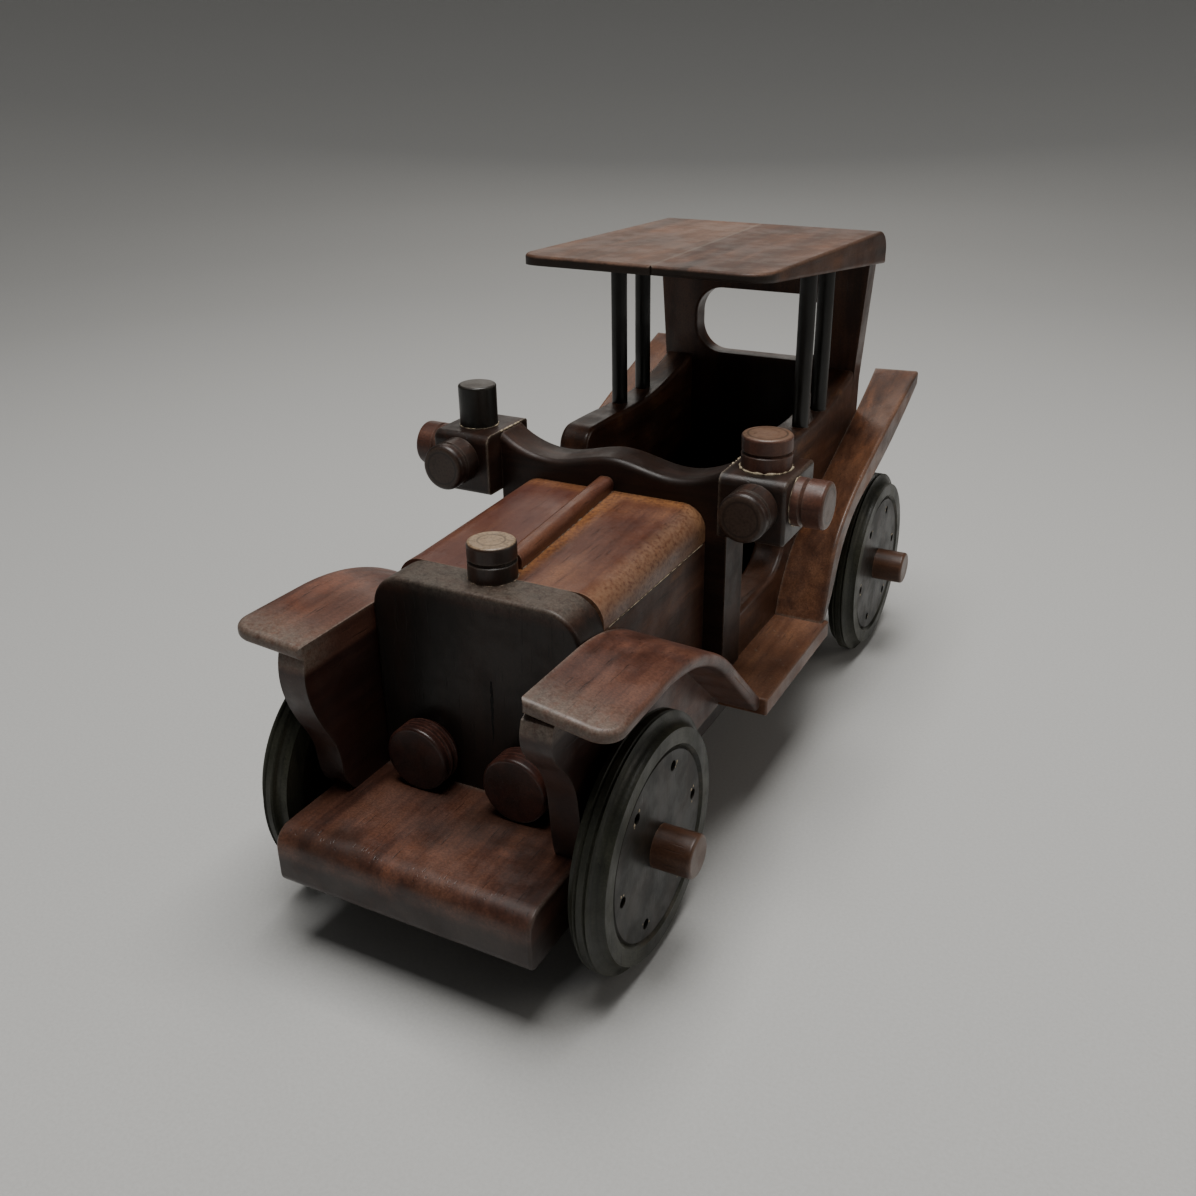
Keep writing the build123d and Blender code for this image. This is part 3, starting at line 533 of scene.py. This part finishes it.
def lathe_marks(axle):
    """Fine rings round the axle, a rubbed rim, and a blacker disc inside it."""
    def paint(shader, colour):
        away = distance_from(shader, axle, "YZ")
        wave = shader.math("SINE", shader.product(away, 2 * pi / GROOVE_PITCH))
        grooves = shader.span(wave, 0.2, 1.0)
        colour = shader.mix(shader.product(grooves, 0.25), colour, (0.004, 0.005, 0.004))
        rim = shader.math("ABSOLUTE", shader.math("SUBTRACT", away, RIM_RADIUS))
        dust = shader.span(shader.noise(shader.place, 130.0, 4.0, 0.6), 0.42, 0.66)
        rubbed = shader.product(shader.span(rim, 0.9 * MM, 0.3 * MM), dust)
        colour = shader.mix(shader.product(rubbed, 0.7), colour, (0.085, 0.070, 0.050))
        disc = shader.span(away, DISC_RADIUS, DISC_INNER)
        colour = shader.mix(shader.product(disc, 0.85), colour, (0.006, 0.005, 0.0035))
        return shader.mix(shader.product(disc, dust, 0.25), colour, (0.055, 0.032, 0.020))
    return paint


def finish_wheels():
    """Near-black turned wheels on plain axles."""
    for place in ("front", "rear"):
        axle = f"axle_{place}"
        finish(axle, f"axle_wood_{place}", PEG_TONES, "X", 1.1)
        marks = lathe_marks(centre_of(axle))
        for number, side in enumerate(("left", "right")):
            finish(f"wheel_{place}_{side}", f"wheel_wood_{place}_{side}", TYRE_TONES, "Z", 2.6 + number,
                   wear=(0.06, 0.06, 0.045), wear_amount=0.5, edge=0.9 * MM, rough=(0.36, 0.58), gloss=0.30,
                   extra=marks)


# ---------------------------------------------------------------- small pieces of residue and wear

RESIDUE_GRAIN = 500.0


def plain_material(name, colour, second, rough=0.6):
    """A mottled dull surface between two colours."""
    shader = Shader(name)
    mottle = shader.noise(shader.place, RESIDUE_GRAIN, 5.0, 0.65)
    shader.feed(shader.surface.inputs["Base Color"], shader.ramp(mottle, [(0.35, colour), (0.65, second)]))
    dulled = shader.span(mottle, 0.3, 0.7, rough - 0.12, rough + 0.15)
    shader.feed(shader.surface.inputs["Roughness"], dulled)
    shader.relief(mottle, 0.4, 0.1 * MM)
    return shader.material


def smooth_mesh(name, corners, faces):
    mesh = bpy.data.meshes.new(name)
    mesh.from_pydata(corners, [], faces)
    mesh.update()
    for face in mesh.polygons:
        face.use_smooth = True
    return mesh


def mesh_piece(name, corners, faces, material, body):
    mesh = smooth_mesh(name, corners, faces)
    mesh.materials.append(material)
    piece = bpy.data.objects.new(name, mesh)
    link(piece)
    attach(piece, body)


THREAD = 0.12


def bead(name, path, radius, material, body, sides=7, closed=False, gaps=0.0):
    """A bead of dried glue along a path of points, of uneven thickness and thinned to a thread in gaps."""
    corners, faces = [], []
    count = len(path)
    for index, point in enumerate(path):
        before = path[index - 1] if index or closed else point
        after = path[(index + 1) % count] if index < count - 1 or closed else point
        along = (Vector(after) - Vector(before)).normalized()
        side = along.orthogonal().normalized()
        other = along.cross(side)
        size = radius * random.uniform(0.45, 1.15)
        if random.random() < gaps:
            size = THREAD * radius
        for step in range(sides):
            turn = 2 * pi * step / sides
            corners.append(Vector(point) + size * (cos(turn) * side + sin(turn) * other))
    rows = count if closed else count - 1
    for row in range(rows):
        following = (row + 1) % count
        for step in range(sides):
            nxt = (step + 1) % sides
            faces.append((row * sides + step, row * sides + nxt, following * sides + nxt,
                          following * sides + step))
    if not closed:
        faces.append(tuple(reversed(range(sides))))
        faces.append(tuple((count - 1) * sides + step for step in range(sides)))
    mesh_piece(name, corners, faces, material, body)


def circle_path(centre, radius, axis, steps=40, wobble=0.0):
    """Points round a circle about the given axis through centre, in metres."""
    points = []
    for step in range(steps):
        turn = 2 * pi * step / steps
        reach = radius + random.uniform(-wobble, wobble)
        first, second = reach * cos(turn), reach * sin(turn)
        offsets = {"X": (0, first, second), "Y": (first, 0, second), "Z": (first, second, 0)}[axis]
        points.append(Vector(centre) + Vector(offsets))
    return points


def specks(name, places, size, material, body):
    """Tiny flattened domes of residue or dust lying on a surface; places are (point, normal)."""
    corners, faces = [], []
    sides = 7
    for point, normal in places:
        normal = Vector(normal).normalized()
        side = normal.orthogonal().normalized()
        other = normal.cross(side)
        reach = size * random.uniform(0.45, 1.0)
        base = len(corners)
        for ring, (spread, lift) in enumerate(((1.0, 0.0), (0.72, 0.22), (0.30, 0.32))):
            for step in range(sides):
                turn = 2 * pi * step / sides
                out = reach * spread * (1 + 0.25 * sin(3 * turn + ring))
                corners.append(Vector(point) + out * (cos(turn) * side + sin(turn) * other)
                               + normal * reach * lift)
        for ring in range(2):
            for step in range(sides):
                nxt = (step + 1) % sides
                low, high = base + ring * sides, base + (ring + 1) * sides
                faces.append((low + step, low + nxt, high + nxt, high + step))
        faces.append(tuple(base + 2 * sides + step for step in range(sides)))
        faces.append(tuple(base + step for step in reversed(range(sides))))
    mesh_piece(name, corners, faces, material, body)


BLOCK_STEPS = 26
BLOCK_GLUE_START = 8.6
BLOCK_GLUE_LENGTH = 14
SEAM_STEPS = 70
SEAM_START = 0.04
SEAM_RUN = 0.93
RIB_STEPS = 60
RIB_FRONT_X = 1.5
RIB_REAR_X = -1.6
BONNET_RISE = 2.2 * MM
RIB_GLUE_OFFSET = 3.05 * MM


def glue_details(glue, dust):
    """Dried glue round the pegs and blocks, along the rib and along the seam of the bonnet."""
    for side, radius, thickness, gaps in (("left", 8.0, 0.55, 0.15), ("right", 6.6, 0.3, 0.55)):
        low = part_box(f"lamp_top_peg_{side}")[0]
        centre = centre_of(f"lamp_top_peg_{side}")
        ring = circle_path((centre.x, centre.y, low[2] + 0.1 * MM), radius * MM, "Z", 44, 0.12 * MM)
        bead(f"glue_top_peg_{side}", ring, thickness * MM, glue, "car", closed=True, gaps=gaps)
        block_low, block_high = (Vector(corner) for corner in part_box(f"side_lamp_{side}"))
        inner_x = block_low.x if side == "left" else block_high.x
        path = []
        for step in range(BLOCK_STEPS):
            reach = (BLOCK_GLUE_START + BLOCK_GLUE_LENGTH * step / (BLOCK_STEPS - 1)) * MM
            path.append((inner_x, block_low.y + reach, block_high.z - 0.1 * MM))
        bead(f"glue_block_{side}", path, 0.4 * MM, glue, "car", gaps=0.45)
        peg_low, peg_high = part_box(f"lamp_outer_peg_{side}")
        base_x = peg_low[0] if side == "left" else peg_high[0]
        middle = centre_of(f"lamp_outer_peg_{side}")
        ring = circle_path((base_x, middle.y, middle.z), 7.6 * MM, "X", 40, 0.1 * MM)
        bead(f"glue_outer_peg_{side}", ring, 0.35 * MM, glue, "car", closed=True, gaps=0.6)
    cap_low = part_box("radiator_cap")[0]
    cap = centre_of("radiator_cap")
    ring = circle_path((cap.x, cap.y, cap_low[2] + 0.05 * MM), 7.2 * MM, "Z", 40, 0.1 * MM)
    bead("glue_cap", ring, 0.22 * MM, dust, "car", closed=True, gaps=0.5)

    rib_low, rib_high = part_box("bonnet_rib")
    bonnet_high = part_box("bonnet_top")[1]
    start, end = rib_low[1], rib_high[1]
    for side, sign in (("left", 1), ("right", -1)):
        path = []
        for step in range(RIB_STEPS):
            share = step / (RIB_STEPS - 1)
            middle = (RIB_FRONT_X + (RIB_REAR_X - RIB_FRONT_X) * share) * MM
            seat = bonnet_high[2] - BONNET_RISE * (1 - share)
            path.append((middle + sign * RIB_GLUE_OFFSET, start + (end - start) * share, seat))
        bead(f"glue_rib_{side}", path, 0.24 * MM, dust, "car", gaps=0.5)

    engine_low, engine_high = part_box("engine_block")
    for side, x in (("left", engine_high[0]), ("right", engine_low[0])):
        path = []
        for step in range(SEAM_STEPS):
            share = SEAM_START + SEAM_RUN * step / (SEAM_STEPS - 1)
            path.append((x, engine_low[1] + (engine_high[1] - engine_low[1]) * share, engine_high[2]))
        bead(f"glue_seam_{side}", path, 0.14 * MM, glue, "car", sides=6, gaps=0.25)


HOLES = 6
FIRST_HOLE = 8
HOLE_CIRCLE = 22.8 * MM
WHEEL_FACE = 56.2 * MM
DABS_PER_HOLE = 3


def wheel_dabs(glue):
    """Dabs of pale residue on the hole circle of each wheel.

    They lie beside the holes of the left wheels. The right wheels' holes are mirrored in Z, so there the
    same dabs lie 16 degrees away from them."""
    for place, body in (("front", "front_wheelset"), ("rear", "rear_wheelset")):
        for side, sign in (("left", 1), ("right", -1)):
            centre = centre_of(f"wheel_{place}_{side}")
            places = []
            for number in range(HOLES):
                turn = radians(FIRST_HOLE + 360 / HOLES * number)
                for _ in range(DABS_PER_HOLE):
                    reach = HOLE_CIRCLE + random.uniform(-1.0, 1.0) * MM
                    swing = turn + random.choice((-1, 1)) * random.uniform(0.075, 0.11)
                    point = (sign * WHEEL_FACE, centre.y + reach * cos(swing), centre.z + reach * sin(swing))
                    places.append((point, (sign, 0, 0)))
            specks(f"wheel_residue_{place}_{side}", places, 0.5 * MM, glue, body)


CRACK_STEPS = 15
CRACK_X = 4.5
CRACK_FOOT = 57
CRACK_LENGTH = 21


def radiator_crack(dark):
    """A drying crack in the radiator's face, widest above its own middle."""
    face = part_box("radiator_plate")[0][1] - 0.03 * MM
    left, right = [], []
    x = CRACK_X
    for step in range(CRACK_STEPS):
        share = step / (CRACK_STEPS - 1)
        height = (CRACK_FOOT + CRACK_LENGTH * share) * MM
        x += random.uniform(-0.22, 0.22)
        taper = sin(pi * (0.04 + 0.92 * share)) ** 0.5
        half = (0.35 + 0.55 * share) * taper * random.uniform(0.5, 1.1)
        left.append(((x - half) * MM, face, height))
        right.append(((x + half) * MM, face, height))
    faces = [(row, CRACK_STEPS + row, CRACK_STEPS + row + 1, row + 1) for row in range(CRACK_STEPS - 1)]
    mesh_piece("radiator_crack", left + right, faces, dark, "car")


LEFT_SPECKS = 26
RIGHT_SPECKS = 12
SPECK_MARGIN = 3 * MM


def board_dust(dust):
    """Specks of dust on the running board, fewer on its right side."""
    low, high = (Vector(corner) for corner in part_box("running_board"))
    places = [((random.uniform(43, 58) * MM, random.uniform(low.y + SPECK_MARGIN, high.y - SPECK_MARGIN),
                high.z), (0, 0, 1)) for _ in range(LEFT_SPECKS)]
    places += [((-x, y, z), normal) for (x, y, z), normal in places[:RIGHT_SPECKS]]
    specks("running_board_dust", places, 0.32 * MM, dust, "car")


def make_floor():
    """A flat round floor whose rim curves up into a wall."""
    flat, bend, wall, sides = 0.9, 2.0, 0.4, 96
    turns = [radians(degrees) for degrees in range(0, 91, 6)]
    profile = [(flat + bend * sin(turn), bend * (1 - cos(turn))) for turn in turns]
    profile.append((flat + bend, bend + wall))
    corners = [(0, 0, 0)]
    for reach, height in profile:
        corners += [(reach * cos(2 * pi * step / sides), reach * sin(2 * pi * step / sides), height)
                    for step in range(sides)]
    faces = [(0, 1 + step, 1 + (step + 1) % sides) for step in range(sides)]
    for ring in range(len(profile) - 1):
        low, high = 1 + ring * sides, 1 + (ring + 1) * sides
        faces += [(low + step, high + step, high + (step + 1) % sides, low + (step + 1) % sides)
                  for step in range(sides)]
    mesh = smooth_mesh("floor", corners, faces)
    floor = bpy.data.objects.new("floor", mesh)
    link(floor)
    paper = Shader("pale_paper")
    fibre = paper.noise(paper.place, 900.0, 6.0, 0.7)
    paper.feed(paper.surface.inputs["Base Color"],
               paper.ramp(fibre, [(0.3, (0.46, 0.46, 0.45)), (0.7, (0.52, 0.52, 0.51))]))
    paper.surface.inputs["Roughness"].default_value = 0.85
    mesh.materials.append(paper.material)


make_camera()
make_studio()
make_floor()
finish_body()
finish_pegs()
finish_wheels()
pale_glue = plain_material("dried_glue", (0.30, 0.235, 0.150), (0.52, 0.44, 0.31))
grey_dust = plain_material("dust", (0.075, 0.048, 0.030), (0.230, 0.170, 0.115))
black_gap = plain_material("crack_shadow", (0.0015, 0.0015, 0.0015), (0.004, 0.0035, 0.003), 0.9)
glue_details(pale_glue, grey_dust)
wheel_dabs(pale_glue)
radiator_crack(black_gap)
board_dust(grey_dust)
